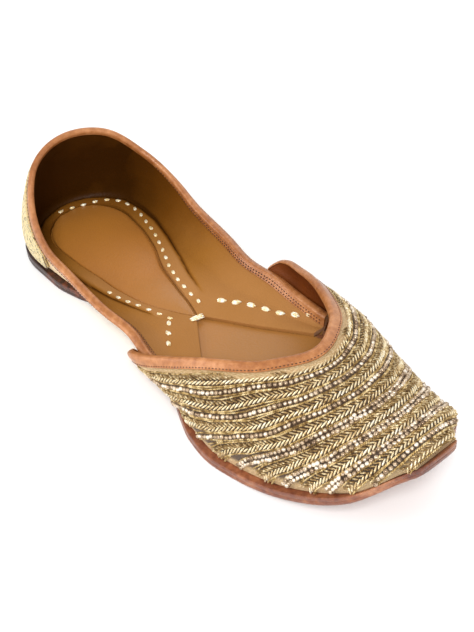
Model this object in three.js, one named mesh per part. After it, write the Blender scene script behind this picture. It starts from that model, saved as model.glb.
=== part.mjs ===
// A woman's flat mojari in metallic leather: a thin leather outsole, a quarter that is open at the
// waist and turned in over the insole, and an embroidered vamp whose wings lap over the quarter.
// Millimetres, +Z up, toe towards -Y, heel towards +Y, origin on the floor under the middle.
import * as THREE from "three";
import { mergeVertices } from "three/addons/utils/BufferGeometryUtils.js";

// Driving dimensions
const LENGTH = 250; // outsole, heel to toe, as worn by a foot of about 243 mm
const HEEL_HALF = 31; // half width of the outsole at the heel
const HEEL_ROUND = 30; // length of the rounded back of the outsole
const SOLE_THICK = 4.5; // two layers of sole leather
const TOE_SPRING = 34; // rise of the sole at the toe tip
const SPRING_CURL = 2.5; // how much the rise is kept for the very tip
const SPRING_START = 172; // where the sole starts to rise, from the heel
const ARCH_RISE = 1.2; // rise of the sole at the waist
const LEDGE = 3; // sole leather that shows outside the upper
const GAP = 0.3; // clearance between pieces that touch
const WALL = 1.6; // upper leather with its lining
const BIND = 0.7; // binding leather
const THROAT_BAND = 3.8; // width of the throat binding on the outside
const BAND_OUT = 4.6; // width of the collar binding on the outside
const BAND_IN_HEEL = 1.6; // width of the collar binding on the inside at the heel
const BAND_IN_FRONT = 4.6; // and towards the front
const INSOLE_THICK = 1.5;
const QUARTER_END = 155; // front end of the quarter, tucked inside the vamp
const COLLAR_BACK = 20; // how far the collar's back leans in over the heel
const COLLAR_ROUND = 37; // length of the collar's rounded back
const COLLAR_HALF = 36; // half width of the collar at the heel
const COUNTER_REACH = 0.345; // end of the heel patch, as a share of the way to the quarter's end
const VAMP_TIP = LENGTH - LEDGE; // front of the vamp
const THROAT = 187; // bottom of the throat, on the ridge
const ROPE_RISE = 1.2; // how proud the rope rows of the embroidery stand
const BEAD_RISE = 0.9; // and the bead rows between them
const CLOTH_RISE = 0.3; // and the cloth in between

// Half width of the outsole from the end of the heel's round to the toe
const SOLE_PLAN = [
  { s: 30, half: 31 },
  { s: 46, half: 31 },
  { s: 59, half: 28.5 },
  { s: 71, half: 25 },
  { s: 82, half: 22 },
  { s: 94, half: 20.5 },
  { s: 104, half: 21 },
  { s: 116, half: 24 },
  { s: 128, half: 29 },
  { s: 140, half: 34.5 },
  { s: 150, half: 39 },
  { s: 160, half: 42.5 },
  { s: 172, half: 44 },
  { s: 186, half: 42 },
  { s: 200, half: 39 },
  { s: 214, half: 35 },
  { s: 226, half: 31 },
  { s: 234, half: 27 },
  { s: 239, half: 21 },
  { s: 243, half: 14.5 },
  { s: 247, half: 10.5 },
  { s: 250, half: 7.5 },
];

// The last in cross-section, heights above the sole: belly is how far the side swells past its
// foot, lift is the height of the swell, crown the half width of the top, ridge its height
const LAST = [
  { s: 60, belly: 26, lift: 12, crown: 34, ridge: 44 },
  { s: 100, belly: 33, lift: 9, crown: 36, ridge: 42 },
  { s: 120, belly: 34, lift: 9, crown: 36, ridge: 41 },
  { s: 140, belly: 16, lift: 12, crown: 34, ridge: 40 },
  { s: 160, belly: 3, lift: 17, crown: 32, ridge: 39 },
  { s: 180, belly: 1.5, lift: 17, crown: 30, ridge: 38 },
  { s: 200, belly: 1, lift: 14, crown: 26, ridge: 32 },
  { s: 220, belly: 1, lift: 10.5, crown: 20, ridge: 22 },
  { s: 235, belly: 1, lift: 7, crown: 14, ridge: 13.5 },
  { s: 243, belly: 0.8, lift: 4.5, crown: 8, ridge: 8 },
  { s: 247, belly: 0.5, lift: 1.5, crown: 3, ridge: 2.6 },
];

// The collar's rim: half width and height above the floor
const RIM = [
  { s: 20, half: 0, z: 55 },
  { s: 26, half: 18, z: 51.5 },
  { s: 38, half: 30.5, z: 40.5 },
  { s: 57, half: 36, z: 28.5 },
  { s: 77, half: 33.5, z: 22.5 },
  { s: 115, half: 36, z: 16.8 },
  { s: 155, half: 37, z: 13 },
];

// The vamp's back edge: across runs from 0 at the sole to 1 on the ridge, and a row past it
// that mirrors the other side keeps the throat round
const VAMP_EDGE = [
  { across: 0, s: 141 },
  { across: 0.12, s: 126 },
  { across: 0.22, s: 118 },
  { across: 0.3, s: 120.5 },
  { across: 0.45, s: 137 },
  { across: 0.6, s: 157 },
  { across: 0.8, s: 179 },
  { across: 1, s: THROAT },
  { across: 1.2, s: 179 },
];

// Rows of the embroidery by their place on the ridge, 0 at the throat and 1 at the tip
const ROPE_ROWS = [0.1, 0.205, 0.325, 0.455, 0.605, 0.755, 0.895];
const BEAD_ROWS = [0.152, 0.263, 0.388, 0.528, 0.68, 0.825];

// How far a row hangs back beside the ridge, as a share of the throat's own curve: half way down
// and low on the side
const ROW_HANG = [
  { row: 0, middle: 1, side: 1 },
  { row: 0.152, middle: 0.59, side: 0.86 },
  { row: 0.263, middle: 0.38, side: 0.62 },
  { row: 0.388, middle: 0.28, side: 0.45 },
  { row: 0.528, middle: 0.21, side: 0.31 },
  { row: 0.68, middle: 0.14, side: 0.2 },
  { row: 0.825, middle: 0.07, side: 0.1 },
  { row: 1, middle: 0, side: 0 },
];

// The heel sock: a teardrop from the heel to the point where the two turned-in margins meet
const SOCK_BACK = 12;
const SOCK_ROUND = 22;
const SOCK_PLAN = [
  { s: 34, half: 19.5, middle: 0 },
  { s: 48, half: 18.5, middle: -0.5 },
  { s: 62, half: 16, middle: -1.5 },
  { s: 78, half: 12, middle: -4 },
  { s: 92, half: 9, middle: -4.5 },
  { s: 105, half: 4.5, middle: -2.5 },
  { s: 114, half: 0.4, middle: -1 },
];
const SOCK_POINT = 114;

const mix = (a, b, t) => a + (b - a) * t;
const clamp01 = (t) => Math.min(1, Math.max(0, t));
const smoothstep = (a, b, t) => {
  const k = clamp01((t - a) / (b - a));
  return k * k * (3 - 2 * k);
};

// A smooth curve through a table's rows that never overshoots them
function along(rows, key, column, value) {
  const n = rows.length;
  let i = 0;
  while (i < n - 2 && value > rows[i + 1][key]) i++;
  const step = (j) => rows[j + 1][key] - rows[j][key];
  const slope = (j) => (rows[j + 1][column] - rows[j][column]) / step(j);
  const tangent = (j) => {
    if (j === 0) return slope(0);
    if (j === n - 1) return slope(n - 2);
    const a = slope(j - 1);
    const b = slope(j);
    return a * b <= 0 ? 0 : (2 * a * b) / (a + b);
  };
  const h = step(i);
  const t = clamp01((value - rows[i][key]) / h);
  const h00 = (1 + 2 * t) * (1 - t) * (1 - t);
  const h10 = t * (1 - t) * (1 - t) * h;
  const h01 = t * t * (3 - 2 * t);
  const h11 = t * t * (t - 1) * h;
  return h00 * rows[i][column] + h10 * tangent(i) + h01 * rows[i + 1][column] + h11 * tangent(i + 1);
}

// Half width of the sole at a distance s from the heel
function soleHalf(s) {
  if (s >= HEEL_ROUND) return along(SOLE_PLAN, "s", "half", s);
  const k = (HEEL_ROUND - s) / HEEL_ROUND;
  return Math.max(HEEL_HALF * Math.sqrt(Math.max(0, 1 - k * k)), 1.8);
}

// Height of the sole's underside: flat at heel and ball, arched between them, sprung at the toe
function soleUnder(s) {
  const arch = ARCH_RISE * smoothstep(72, 95, s) * (1 - smoothstep(115, 138, s));
  const k = clamp01((s - SPRING_START) / (LENGTH - SPRING_START));
  return arch + TOE_SPRING * k ** SPRING_CURL;
}

const soleTop = (s) => soleUnder(s) + SOLE_THICK;
const point = (s, x, z) => new THREE.Vector3(x, LENGTH / 2 - s, z);

// Cross-section of the last, from the sole (across 0) to the ridge (across 1)
function lastPoint(s, across, inset) {
  const foot = soleHalf(s) - LEDGE;
  const low = soleTop(s) + GAP;
  const get = (column) => along(LAST, "s", column, s);
  const top = low + get("ridge") - inset;
  const curve = new THREE.CubicBezierCurve(
    new THREE.Vector2(foot - inset, low),
    new THREE.Vector2(foot + get("belly") - inset, low + get("lift") - 0.3 * inset),
    new THREE.Vector2(get("crown") - 0.6 * inset, top),
    new THREE.Vector2(0, top),
  );
  const p = curve.getPoint(across);
  return { x: p.x, z: p.y };
}

// How far the quarter is set in where the vamp laps over it, more where the side slopes
function lapAt(s, z) {
  const slope = (lastHalf(s, z + 1) - lastHalf(s, z - 1)) / 2;
  return LAP * Math.min(MOST_SLOPE, Math.hypot(1, slope)) * smoothstep(93, 113, s);
}

// Half width of the last at a height, found by halving
function lastHalf(s, z) {
  let a = 0;
  let b = 1;
  for (let i = 0; i < 30; i++) {
    const m = (a + b) / 2;
    if (lastPoint(s, m, 0).z < z) a = m;
    else b = m;
  }
  return lastPoint(s, a, 0).x;
}

// The quarter's wall. way runs from 0 at the back to 1 at the front end, up from 0 to 1 at the rim
const HEEL_SHARE = 0.35;
const LAP = WALL + BIND + 4 * GAP;
const MOST_SLOPE = 1.6;

const turnAt = (way) => (Math.min(way, HEEL_SHARE) / HEEL_SHARE) * (Math.PI / 2);

function wallFoot(way) {
  const turn = turnAt(way);
  const past = Math.max(0, way - HEEL_SHARE) / (1 - HEEL_SHARE);
  if (!past) {
    const s = LEDGE + (HEEL_ROUND - LEDGE) * (1 - Math.cos(turn));
    return { s, x: (HEEL_HALF - LEDGE) * Math.sin(turn) };
  }
  const s = mix(HEEL_ROUND, QUARTER_END, past);
  return { s, x: soleHalf(s) - LEDGE };
}

function wallRim(way) {
  const turn = turnAt(way);
  const past = Math.max(0, way - HEEL_SHARE) / (1 - HEEL_SHARE);
  if (!past) {
    const s = COLLAR_BACK + COLLAR_ROUND * (1 - Math.cos(turn));
    return { s, x: COLLAR_HALF * Math.sin(turn), z: along(RIM, "s", "z", s) };
  }
  const s = mix(COLLAR_BACK + COLLAR_ROUND, QUARTER_END, past);
  return { s, x: along(RIM, "s", "half", s), z: along(RIM, "s", "z", s) };
}

function wallSurface(way, up) {
  const foot = wallFoot(way);
  const rim = wallRim(way);
  const s = mix(foot.s, rim.s, up);
  const low = soleTop(foot.s) + GAP;
  const z = mix(low, rim.z, up);
  const swell = 3 * (1 - smoothstep(0.2, 0.6, way)) * Math.sin(Math.PI * clamp01(up));
  const turn = turnAt(way);
  const heel = mix(foot.x, rim.x, up) + swell * Math.sin(turn);
  const side = lastHalf(s, z) - lapAt(s, z);
  const x = mix(heel, side, smoothstep(50, 95, s));
  return { s: s - swell * Math.cos(turn), x, z };
}

// A point on the wall's outside, moved out by a distance along the wall's own normal
function wallPoint(u, up, out) {
  const place = (way, k) => {
    const w = wallSurface(Math.abs(way), k);
    return point(w.s, (way < 0 ? -1 : 1) * w.x, w.z);
  };
  const step = 0.004;
  const here = place(u, up);
  const round = place(Math.min(1, u + step), up).sub(place(Math.max(-1, u - step), up));
  const rise = place(u, up + step).sub(place(u, up - step));
  return onSole(here.addScaledVector(rise.cross(round).normalize(), out));
}

// Keeps a point clear of the sole it stands on
function onSole(p) {
  p.z = Math.max(p.z, soleTop(LENGTH / 2 - p.y) + GAP);
  return p;
}

// A closed body from rings of points, with its two end rings filled in
function loft(rings, fill = acrossFaces) {
  const n = rings[0].length;
  const position = rings.flat().flatMap((p) => [p.x, p.y, p.z]);
  const index = [];
  for (let r = 0; r < rings.length - 1; r++)
    for (let i = 0; i < n; i++) {
      const j = (i + 1) % n;
      const [a, b, c, d] = [r * n + i, r * n + j, (r + 1) * n + j, (r + 1) * n + i];
      index.push(a, b, c, a, c, d);
    }
  const last = (rings.length - 1) * n;
  for (const [a, b, c] of fill(rings[0])) index.push(a, c, b);
  for (const [a, b, c] of fill(rings.at(-1))) index.push(last + a, last + b, last + c);
  const made = new THREE.BufferGeometry();
  made.setAttribute("position", new THREE.Float32BufferAttribute(position, 3));
  made.setIndex(index);
  return outward(made);
}

// Triangles that fill a ring whose first half runs beside its second, back to back
function acrossFaces(ring) {
  const n = ring.length;
  const faces = [];
  for (let i = 0; i < Math.floor(n / 2) - 1; i++)
    faces.push([i, i + 1, n - 2 - i], [i, n - 2 - i, n - 1 - i]);
  if (n % 2) faces.push([(n - 3) / 2, (n - 1) / 2, (n + 1) / 2]);
  return faces;
}

// Triangles that fill a ring with corners that turn in
function cornerFaces(ring) {
  const normal = new THREE.Vector3();
  ring.forEach((p, i) => {
    const q = ring[(i + 1) % ring.length];
    normal.add(new THREE.Vector3().crossVectors(p, q));
  });
  normal.normalize();
  const helper = Math.abs(normal.z) < 0.9 ? new THREE.Vector3(0, 0, 1) : new THREE.Vector3(0, 1, 0);
  const right = new THREE.Vector3().crossVectors(helper, normal).normalize();
  const up = new THREE.Vector3().crossVectors(normal, right);
  const flat = ring.map((p) => new THREE.Vector2(p.dot(right), p.dot(up)));
  return THREE.ShapeUtils.triangulateShape(flat, []);
}

// Turns a closed body's faces outwards
function outward(geometry) {
  const p = geometry.attributes.position;
  const index = geometry.index.array;
  const [a, b, c] = [new THREE.Vector3(), new THREE.Vector3(), new THREE.Vector3()];
  let volume = 0;
  for (let i = 0; i < index.length; i += 3) {
    a.fromBufferAttribute(p, index[i]);
    b.fromBufferAttribute(p, index[i + 1]);
    c.fromBufferAttribute(p, index[i + 2]);
    volume += a.dot(b.cross(c));
  }
  if (volume < 0)
    for (let i = 0; i < index.length; i += 3) [index[i], index[i + 1]] = [index[i + 1], index[i]];
  return geometry;
}

const count = (n, from, to) => Array.from({ length: n + 1 }, (_, i) => mix(from, to, i / n));

// Stations along a plate whose back is round: close together on the curve, then even
function stations(back, round, end, turns, steps) {
  const curve = count(turns, 0, Math.PI / 2).map((a) => back + round * (1 - Math.cos(a)));
  return [...curve, ...count(steps, back + round, end).slice(1)];
}

// The outsole: a flat plate with small bevels, bent up at the toe
function outsole() {
  const bevel = 0.6;
  const body = stations(0, HEEL_ROUND, 220, 10, 30);
  const toe = count(14, 220, LENGTH).slice(1);
  return loft(
    [...body, ...toe].map((s) => {
      const half = soleHalf(s);
      const low = soleUnder(s);
      const right = [
        point(s, half - bevel, low),
        point(s, half, low + bevel),
        point(s, half, low + SOLE_THICK - bevel),
        point(s, half - bevel, low + SOLE_THICK),
      ];
      const left = right.map((p) => new THREE.Vector3(-p.x, p.y, p.z)).reverse();
      return [...right, ...left];
    }),
  );
}

// The insole: a thin plate on the outsole, inside the walls
const INSOLE_INSET = LEDGE + WALL + 5 * GAP;
const INSOLE_END = 238;

function insoleHalf(s) {
  const round = HEEL_ROUND - INSOLE_INSET;
  if (s >= HEEL_ROUND) return soleHalf(s) - INSOLE_INSET - MOST_SLOPE * LAP * smoothstep(88, 110, s);
  const k = (HEEL_ROUND - s) / round;
  return Math.max((HEEL_HALF - INSOLE_INSET) * Math.sqrt(Math.max(0, 1 - k * k)), 1.5);
}

function insole() {
  return loft(
    stations(INSOLE_INSET, HEEL_ROUND - INSOLE_INSET, INSOLE_END, 8, 32).map((s) => {
      const half = insoleHalf(s);
      const low = soleTop(s) + GAP;
      const high = low + INSOLE_THICK;
      return [point(s, half, low), point(s, half, high), point(s, -half, high), point(s, -half, low)];
    }),
  );
}

// The turned-in margin's inner edge: round the heel sock, to its point, then out to the front end
const POINT_WAY = 0.8;
const marginLow = (s) => soleTop(s) + GAP + INSOLE_THICK + GAP;
const sockMiddle = (s) => along(SOCK_PLAN, "s", "middle", s);

function marginEdge(way) {
  if (way <= HEEL_SHARE) {
    const turn = turnAt(way);
    const s = SOCK_BACK + SOCK_ROUND * (1 - Math.cos(turn));
    return { s, x: SOCK_PLAN[0].half * Math.sin(turn), middle: 0 };
  }
  if (way <= POINT_WAY) {
    const s = mix(SOCK_PLAN[0].s, SOCK_POINT, (way - HEEL_SHARE) / (POINT_WAY - HEEL_SHARE));
    return { s, x: along(SOCK_PLAN, "s", "half", s), middle: sockMiddle(s) };
  }
  const k = (way - POINT_WAY) / (1 - POINT_WAY);
  const end = wallFoot(1);
  const middle = mix(sockMiddle(SOCK_POINT), 0, k);
  return { s: mix(SOCK_POINT, end.s, k), x: mix(0.4, end.x - MOST_SLOPE * LAP - WALL - 2, k), middle };
}

// The quarter: one wall round the heel from one side of the vamp to the other, its lower margin
// turned in over the insole
function quarter() {
  const rises = count(7, 0, 1);
  return loft(
    count(60, -1, 1).map((u) => {
      const way = Math.abs(u);
      const side = u < 0 ? -1 : 1;
      const rim = wallRim(way).z;
      const foot = wallFoot(way);
      const edge = marginEdge(way);
      const base = soleTop(foot.s) + GAP;
      const share = (z) => (z - base) / (rim - base);
      const turned = share(marginLow(foot.s));
      const turnedTop = share(marginLow(foot.s) + WALL);
      const outer = rises.map((k) => wallPoint(u, k, 0));
      const inner = count(5, 1, turnedTop).map((k) => wallPoint(u, k, -WALL));
      const tip = point(edge.s, edge.middle + side * edge.x, marginLow(edge.s));
      const tipTop = tip.clone().setZ(tip.z + WALL);
      return [...outer, ...inner, tipTop, tip, wallPoint(u, turned, -WALL), wallPoint(u, 0, -WALL)];
    }),
    cornerFaces,
  );
}

// The padded heel sock inside the turned-in margin
function sockHalf(s) {
  if (s >= SOCK_PLAN[0].s) return along(SOCK_PLAN, "s", "half", s) - 3 * GAP;
  const k = (SOCK_PLAN[0].s - s) / SOCK_ROUND;
  return Math.max((SOCK_PLAN[0].half - GAP) * Math.sqrt(Math.max(0, 1 - k * k)) - 2 * GAP, 0.8);
}

function heelSock() {
  const edge = 1.2;
  const crown = 1.6;
  return loft(
    stations(SOCK_BACK + 3 * GAP, SOCK_ROUND, SOCK_POINT - 6, 8, 16).map((s) => {
      const half = sockHalf(s);
      const middle = sockMiddle(s);
      const low = marginLow(s);
      const rise = crown * Math.min(1, half / 12);
      const top = (k) => low + edge + rise * (1 - k * k);
      const over = count(8, 1, -1).map((k) => point(s, middle + k * half, top(k)));
      return [point(s, middle + half, low), ...over, point(s, middle - half, low)];
    }),
  );
}

// The brocade patch that covers the back of the quarter
function counterPatch() {
  const under = GAP + 0.1;
  const over = under + BIND;
  const rises = count(7, 0, 1);
  return loft(
    count(30, -1, 1).map((k) => {
      const band = (up) => k * COUNTER_REACH * (1 + 0.12 * Math.sin(Math.PI * up));
      const height = 1 - (BAND_OUT + GAP) / rimRise(band(0.5));
      const outer = rises.map((up) => wallPoint(band(up), up * height, over));
      const inner = rises.map((up) => wallPoint(band(up), up * height, under)).reverse();
      return [...outer, ...inner];
    }),
  );
}

// Length of the wall's slope below its rim, for a whole rise from foot to rim
const rimRise = (u) => wallPoint(u, 1, 0).distanceTo(wallPoint(u, 0.96, 0)) / 0.04;

// The collar binding: a folded strip over the quarter's rim, on both faces
const RIM_GAP = 0.45;

function collarBinding() {
  const inside = WALL + RIM_GAP + BIND;
  const profile = [
    { down: BAND_OUT, out: GAP },
    { down: BAND_OUT, out: GAP + BIND },
    { down: BAND_OUT / 2, out: GAP + BIND },
    { down: 0, out: GAP + BIND },
    { down: -RIM_GAP - BIND, out: -0.2 },
    { down: -RIM_GAP - BIND, out: -WALL + 0.2 },
    { down: 0, out: -inside },
    { down: "inner", out: -inside },
    { down: "inner", out: -WALL - RIM_GAP },
    { down: -RIM_GAP, out: -WALL - RIM_GAP },
    { down: -RIM_GAP, out: GAP },
    { down: BAND_OUT / 2, out: GAP },
  ];
  return loft(
    count(60, -1, 1).map((u) => {
      const height = rimRise(u);
      const inner = mix(BAND_IN_HEEL, BAND_IN_FRONT, smoothstep(0.25, 0.6, Math.abs(u)));
      const down = (p) => (p.down === "inner" ? inner : p.down);
      return profile.map((p) => wallPoint(u, 1 - down(p) / height, p.out));
    }),
    cornerFaces,
  );
}

// The vamp's surface. u runs from -1 at one side of the sole over the ridge to 1 at the other
function hood(u, s, inset = 0) {
  const p = lastPoint(s, 1 - Math.abs(u), inset);
  return point(s, Math.sign(u) * p.x, p.z);
}

// Derivatives of the vamp's surface round and ahead, and its outward direction
function hoodFrame(u, s) {
  const step = 0.004;
  const [a, b] = [Math.max(-1, u - step), Math.min(1, u + step)];
  const round = hood(b, s).sub(hood(a, s)).divideScalar(b - a);
  const ahead = hood(u, s + 0.5).sub(hood(u, s - 0.5));
  const normal = new THREE.Vector3().crossVectors(ahead, round).normalize();
  return { round, ahead, normal };
}

const backEdge = (u) => along(VAMP_EDGE, "across", "s", 1 - Math.abs(u));

// Where a row of the embroidery lies at u. The back edge is row 0 and the tip is row 1
const WING = 0.78;

function rowStation(u, row) {
  const side = smoothstep(0.5, WING, Math.abs(u));
  const hang = mix(along(ROW_HANG, "row", "middle", row), along(ROW_HANG, "row", "side", row), side);
  const curve = THROAT - backEdge(Math.min(WING, Math.abs(u)));
  const s = mix(THROAT, VAMP_TIP, row) - hang * curve;
  return Math.min(VAMP_TIP, Math.max(s, mix(backEdge(u), VAMP_TIP, row / 4)));
}

// The lining's side of the vamp: square to the surface, and set in by sections at the narrow toe
function hoodInside(u, s) {
  const square = hood(u, s).addScaledVector(hoodFrame(u, s).normal, -WALL);
  const toe = smoothstep(210, 230, s);
  return onSole(square.lerp(hood(u, s - 1.5 * WALL * toe, WALL), toe));
}

// Stations across the vamp, closest together where its wings end
const VAMP_SIDE = [0.015, 0.05, 0.09, 0.125, 0.16, 0.19, 0.22, 0.255, 0.3, 0.37, 0.45];
const VAMP_TOP = [0.53, 0.61, 0.69, 0.77, 0.85, 0.93];
const VAMP_HALF = [...VAMP_SIDE, ...VAMP_TOP].map((across) => 1 - across);
const VAMP_STEPS = [...VAMP_HALF.map((u) => -u), 0, ...VAMP_HALF.toReversed()];
const EDGE_POINTS = count(80, -1, 1).map((u) => hood(u, backEdge(u)));

// The rows that the outer face is made from: a crest for each row of the embroidery, the cloth
// between them, and the plain cloth at both ends
function vampRows() {
  const ropes = ROPE_ROWS.map((row) => ({ row, rise: ROPE_RISE }));
  const beads = BEAD_ROWS.map((row) => ({ row, rise: BEAD_RISE }));
  const crests = [...ropes, ...beads].sort((a, b) => a.row - b.row);
  const between = crests.slice(1).map((crest, i) => ({
    row: (crest.row + crests[i].row) / 2,
    rise: CLOTH_RISE,
  }));
  const plain = [0, 0.035, 0.07, 0.935, 1].map((row) => ({ row, rise: 0 }));
  return [...crests, ...between, ...plain].sort((a, b) => a.row - b.row);
}

// The vamp: a hood over the toes, open at the throat and underneath
function vamp() {
  const rows = vampRows();
  return loft(
    [-1, ...VAMP_STEPS, 1].map((u) => {
      const stations = rows.map(({ row }) => rowStation(u, row));
      const outer = stations.map((s, i) => {
        const p = hood(u, s);
        const clear = Math.min(...EDGE_POINTS.map((q) => q.distanceTo(p)));
        const shown = smoothstep(THROAT_BAND + 1, THROAT_BAND + 3, clear);
        const low = smoothstep(0.08, 0.16, 1 - Math.abs(u));
        return p.addScaledVector(hoodFrame(u, s).normal, rows[i].rise * shown * low);
      });
      return [...outer, ...stations.map((s) => hoodInside(u, s)).reverse()];
    }),
  );
}

// The throat binding: a folded strip along the whole back edge of the vamp
const FRONT_GAP = 0.5;

function throatBinding() {
  const profile = [
    { forward: THROAT_BAND, out: FRONT_GAP },
    { forward: THROAT_BAND, out: FRONT_GAP + BIND },
    { forward: THROAT_BAND / 2, out: FRONT_GAP + BIND },
    { forward: 0, out: GAP + BIND },
    { forward: -GAP - BIND, out: 0 },
    { forward: -GAP - BIND, out: -WALL },
    { forward: -GAP, out: -WALL },
    { forward: -GAP, out: GAP },
    { forward: THROAT_BAND / 2, out: FRONT_GAP },
  ];
  const ring = (u) => profile.map((p) => edgePoint(u, p.forward, p.out));
  return loft(VAMP_STEPS.map(ring), cornerFaces);
}

// A point beside the vamp's back edge, at a true distance forward of it and out from it
function edgePoint(u, forward, out) {
  const s = backEdge(u);
  const { round, ahead, normal } = hoodFrame(u, s);
  const step = 0.004;
  const tangent = hood(u + step, backEdge(u + step)).sub(hood(u - step, backEdge(u - step)));
  const square = tangent.cross(normal).normalize();
  if (forward <= 0)
    return onSole(hood(u, s).addScaledVector(square, forward).addScaledVector(normal, out));
  const [a, b, c] = [round.dot(round), round.dot(ahead), ahead.dot(ahead)];
  const [p, q] = [square.dot(round), square.dot(ahead)];
  const reach = forward / (a * c - b * b);
  const at = { u: u + reach * (p * c - q * b), s: s + reach * (q * a - p * b) };
  return onSole(hood(at.u, at.s).addScaledVector(hoodFrame(at.u, at.s).normal, out));
}

// The finishes of the leathers and cloths
const finish = (color, roughness, metalness) =>
  new THREE.MeshStandardMaterial({ color, roughness, metalness });
const soleLeather = finish(0x7a3e22, 0.55, 0);
const tanLeather = finish(0xa8702f, 0.5, 0);
const lightGold = finish(0xd9b98c, 0.42, 0.25);
const brocade = finish(0xbfa25f, 0.45, 0.5);
const copperLeather = finish(0xc98a5e, 0.42, 0.2);
const goldEmbroidery = finish(0xbda05a, 0.4, 0.6);

function piece(name, geometry, material) {
  const merged = mergeVertices(geometry, 1e-4);
  merged.computeVertexNormals();
  const mesh = new THREE.Mesh(merged, material);
  mesh.name = name;
  return mesh;
}

const mojari = new THREE.Group();
mojari.name = "mojari";
mojari.add(
  piece("outsole", outsole(), soleLeather),
  piece("insole", insole(), tanLeather),
  piece("heel_sock", heelSock(), tanLeather),
  piece("quarter", quarter(), lightGold),
  piece("counter_patch", counterPatch(), brocade),
  piece("collar_binding", collarBinding(), copperLeather),
  piece("vamp", vamp(), goldEmbroidery),
  piece("throat_binding", throatBinding(), copperLeather),
);

export default mojari;
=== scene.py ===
import math

import bpy
import numpy as np
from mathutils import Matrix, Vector


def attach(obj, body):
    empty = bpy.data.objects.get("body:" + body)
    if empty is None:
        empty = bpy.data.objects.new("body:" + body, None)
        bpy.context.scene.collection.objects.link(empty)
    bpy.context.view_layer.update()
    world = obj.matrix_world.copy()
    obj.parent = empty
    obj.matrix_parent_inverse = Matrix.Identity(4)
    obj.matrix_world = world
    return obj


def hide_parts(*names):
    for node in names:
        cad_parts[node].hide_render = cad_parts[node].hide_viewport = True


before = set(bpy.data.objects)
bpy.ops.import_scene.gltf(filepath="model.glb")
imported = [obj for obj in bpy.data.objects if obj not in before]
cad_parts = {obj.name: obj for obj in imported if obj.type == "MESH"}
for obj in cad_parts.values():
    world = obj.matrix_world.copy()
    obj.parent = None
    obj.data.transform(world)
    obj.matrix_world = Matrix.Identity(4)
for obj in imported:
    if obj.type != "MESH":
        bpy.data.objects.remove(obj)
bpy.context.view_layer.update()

# ---- Outsole ----
# A flat plate of two layers of sole leather, cut to the foot's outline and bent up into a small
# blunt nose. Its edge is stained red-brown and burnished, with the line between the layers showing,
# and painted darker towards the heel and waist as shade.
LENGTH, HEEL_HALF, HEEL_ROUND, SOLE_THICK, WAIST_TRIM = 250.0, 31.0, 30.0, 4.5, 3.0
TOE_SPRING, SPRING_CURL, SPRING_START, ARCH_RISE = 34.0, 2.5, 172.0, 1.2
LEDGE, GAP, WALL, BIND, INSOLE_THICK = 3.0, 0.3, 1.6, 0.7, 1.5
MM, SMOOTH_UNDER = 0.001, 40


def curve(rows):
    """A smooth curve through (place, value) rows that never overshoots them."""
    x, y = np.array(list(rows), float).T
    step = np.diff(x)
    slope = np.diff(y) / step
    a, b = slope[:-1], slope[1:]
    inner = np.divide(2 * a * b, a + b, out=np.zeros_like(a), where=a * b > 0)
    tangent = np.concatenate([slope[:1], inner, slope[-1:]])

    def value(v):
        v = np.asarray(v, float)
        i = np.clip(np.searchsorted(x, v) - 1, 0, len(x) - 2)
        h = step[i]
        t = np.clip((v - x[i]) / h, 0, 1)
        first = (1 + 2 * t) * (1 - t) ** 2 * y[i] + t * (1 - t) ** 2 * h * tangent[i]
        second = t * t * (3 - 2 * t) * y[i + 1] + t * t * (t - 1) * h * tangent[i + 1]
        return first + second

    return value


def smoothstep(a, b, t):
    k = np.clip((t - a) / (b - a), 0, 1)
    return k * k * (3 - 2 * k)


def mix(a, b, t):
    return a + (b - a) * t


sole_plan = curve([
    (30, 31), (46, 31), (59, 28.5), (71, 25), (82, 22), (94, 20.5), (104, 21), (116, 24), (128, 29),
    (140, 34.5), (150, 39), (160, 42.5), (172, 44), (186, 42), (200, 39), (214, 35), (226, 31),
    (234, 27), (239, 21), (243, 14.5), (247, 10.5), (250, 7.5),
])  # fmt: skip


def sole_half(s):
    s = np.asarray(s, float)
    k = np.clip((HEEL_ROUND - s) / HEEL_ROUND, 0, 1)
    return np.where(s >= HEEL_ROUND, sole_plan(s), np.maximum(HEEL_HALF * np.sqrt(1 - k * k), 1.8))


def sole_under(s):
    arch = ARCH_RISE * smoothstep(72, 95, s) * (1 - smoothstep(115, 138, s))
    k = np.clip((s - SPRING_START) / (LENGTH - SPRING_START), 0, 1)
    return arch + TOE_SPRING * k**SPRING_CURL


def sole_top(s):
    return sole_under(s) + SOLE_THICK


def point(s, x, z):
    s, x, z = np.broadcast_arrays(s, x, z)
    return np.stack([x, LENGTH / 2 - s, z], -1).astype(float)


def lengths(points):
    """Distance along a row of points, from its start."""
    return np.concatenate([[0], np.cumsum(np.linalg.norm(np.diff(points, axis=0), axis=-1))])


def evenly(points, count):
    """A row of points spaced evenly along the same line."""
    done = lengths(points)
    at = np.linspace(0, done[-1], count)
    return np.stack([np.interp(at, done, column) for column in points.T], -1)


def vertices(mesh):
    """A mesh's vertices as rows of metres."""
    flat = np.empty(len(mesh.vertices) * 3)
    mesh.vertices.foreach_get("co", flat)
    return flat.reshape(-1, 3)


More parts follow.
